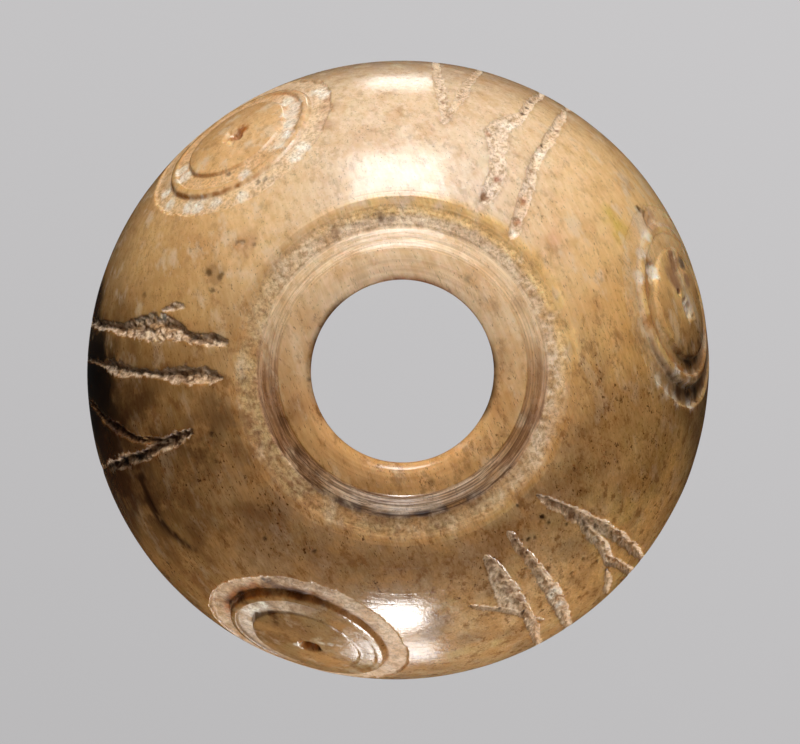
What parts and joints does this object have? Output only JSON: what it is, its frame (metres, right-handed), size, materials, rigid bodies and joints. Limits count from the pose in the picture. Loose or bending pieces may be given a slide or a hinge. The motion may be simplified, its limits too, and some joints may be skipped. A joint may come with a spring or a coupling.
{
  "type": "bone spindle whorl",
  "caption": "Domed bone spindle whorl with a flat base, a round bore with a turned lip, ring-and-dot marks and groups of cut strokes.",
  "frame": {"origin": "the bore's axis at the flat base; the worn outline's middle is 0.2 mm from it", "axes": "+Z up along the bore's axis, from the flat base to the lip; seen from above with +Y up, the ring-and-dot marks are at the right, the upper left and the bottom"},
  "size_m": [0.028, 0.0279, 0.0124],
  "materials": {
    "bone": "satin"
  },
  "bodies": {
    "root": {"whorl": "bone"}
  },
  "joints": []
}
